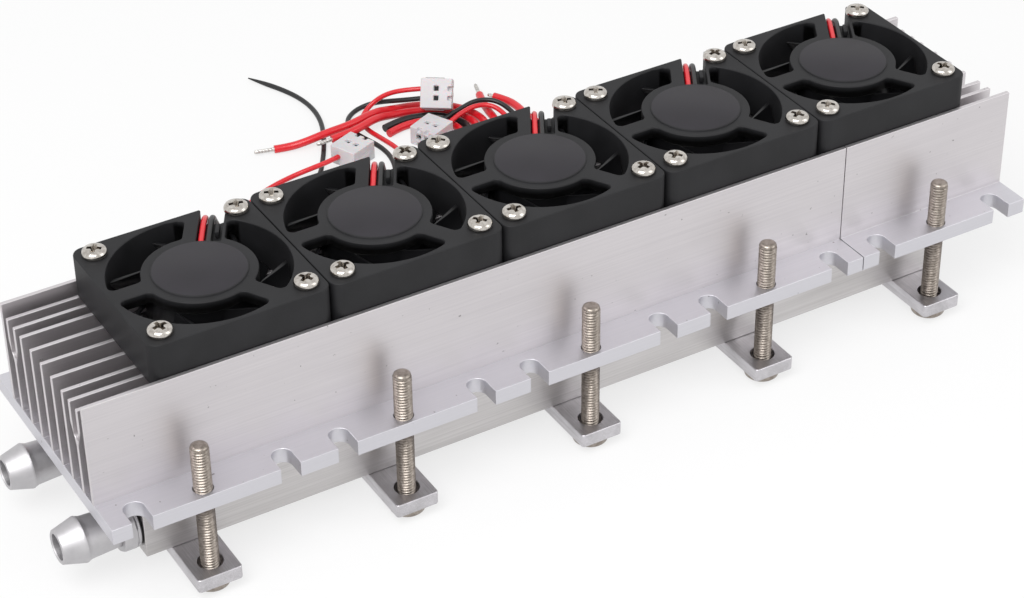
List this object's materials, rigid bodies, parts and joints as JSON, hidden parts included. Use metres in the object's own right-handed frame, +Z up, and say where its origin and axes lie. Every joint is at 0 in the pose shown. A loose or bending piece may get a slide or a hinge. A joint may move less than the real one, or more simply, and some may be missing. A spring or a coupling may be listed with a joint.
{
  "type": "thermoelectric cooling module",
  "caption": "Finned heat sink with a row of small axial fans, cooling elements and a water block clamped beneath, two hose barbs at one end and loose leads behind.",
  "frame": {"origin": "centre of the bounding box at the surface that the bolt heads stand on, leads left out", "axes": "+X along the row of fans away from the hose barbs, +Y towards the loose leads, +Z up from the water block to the fans"},
  "size_m": [0.2349, 0.1849, 0.0581],
  "materials": {
    "seal_rubber": "satin",
    "bar_steel": "scratched",
    "bolt_steel": "nickel plated",
    "element_ceramic": "matt ceramic with a white sealed edge",
    "black_lead": "glossy sleeve",
    "red_lead": "glossy sleeve",
    "bearing_brass": "sintered",
    "fan_plastic": "fine satin",
    "impeller_plastic": "satin",
    "motor_steel": "laminated",
    "plug_plastic": "translucent white",
    "screw_nickel": "bright nickel",
    "sink_aluminium": "extruded",
    "barb_aluminium": "turned bright",
    "block_aluminium": "brushed"
  },
  "bodies": {
    "root": {"barb_seal_front": "seal_rubber", "barb_seal_rear": "seal_rubber", "clamp_bar_1": "bar_steel", "clamp_bar_2": "bar_steel", "clamp_bar_3": "bar_steel", "clamp_bar_4": "bar_steel", "clamp_bar_5": "bar_steel", "clamp_bolts": "bolt_steel", "cooling_element_1": "element_ceramic", "cooling_element_2": "element_ceramic", "cooling_element_3": "element_ceramic", "cooling_element_4": "element_ceramic", "cooling_element_5": "element_ceramic", "element_lead_black_2": "black_lead", "element_lead_red_1": "red_lead", "element_lead_red_2": "red_lead", "element_lead_red_3": "red_lead", "element_lead_red_4": "red_lead", "element_lead_red_5": "red_lead", "fan_bearings": "bearing_brass", "fan_frame_1": "fan_plastic", "fan_frame_2": "fan_plastic", "fan_frame_3": "fan_plastic", "fan_frame_4": "fan_plastic", "fan_frame_5": "fan_plastic", "fan_lead_black_1": "black_lead", "fan_lead_black_2": "black_lead", "fan_lead_black_3": "black_lead", "fan_lead_black_4": "black_lead", "fan_lead_black_5": "black_lead", "fan_lead_red_1": "red_lead", "fan_lead_red_2": "red_lead", "fan_lead_red_3": "red_lead", "fan_lead_red_4": "red_lead", "fan_lead_red_5": "red_lead", "fan_motor_1": "motor_steel", "fan_motor_2": "motor_steel", "fan_motor_3": "motor_steel", "fan_motor_4": "motor_steel", "fan_motor_5": "motor_steel", "fan_plug_1": "plug_plastic", "fan_plug_2": "plug_plastic", "fan_plug_3": "plug_plastic", "fan_screws": "screw_nickel", "heat_sink_long": "sink_aluminium", "heat_sink_short": "sink_aluminium", "hose_barb_front": "barb_aluminium", "hose_barb_rear": "barb_aluminium", "water_block": "block_aluminium"},
    "impeller_1": {"fan_impeller_1": "impeller_plastic"},
    "impeller_2": {"fan_impeller_2": "impeller_plastic"},
    "impeller_3": {"fan_impeller_3": "impeller_plastic"},
    "impeller_4": {"fan_impeller_4": "impeller_plastic"},
    "impeller_5": {"fan_impeller_5": "impeller_plastic"}
  },
  "joints": [
    {"name": "spin_1", "type": "hinge", "parent": "root", "child": "impeller_1", "pos_m": [-0.07535, 0, 0.0514], "axis": [0, 0, 1], "continuous": true},
    {"name": "spin_2", "type": "hinge", "parent": "root", "child": "impeller_2", "pos_m": [-0.03515, 0, 0.0514], "axis": [0, 0, 1], "continuous": true},
    {"name": "spin_3", "type": "hinge", "parent": "root", "child": "impeller_3", "pos_m": [0.00505, 0, 0.0514], "axis": [0, 0, 1], "continuous": true},
    {"name": "spin_4", "type": "hinge", "parent": "root", "child": "impeller_4", "pos_m": [0.04525, 0, 0.0514], "axis": [0, 0, 1], "continuous": true},
    {"name": "spin_5", "type": "hinge", "parent": "root", "child": "impeller_5", "pos_m": [0.08545, 0, 0.0514], "axis": [0, 0, 1], "continuous": true}
  ]
}
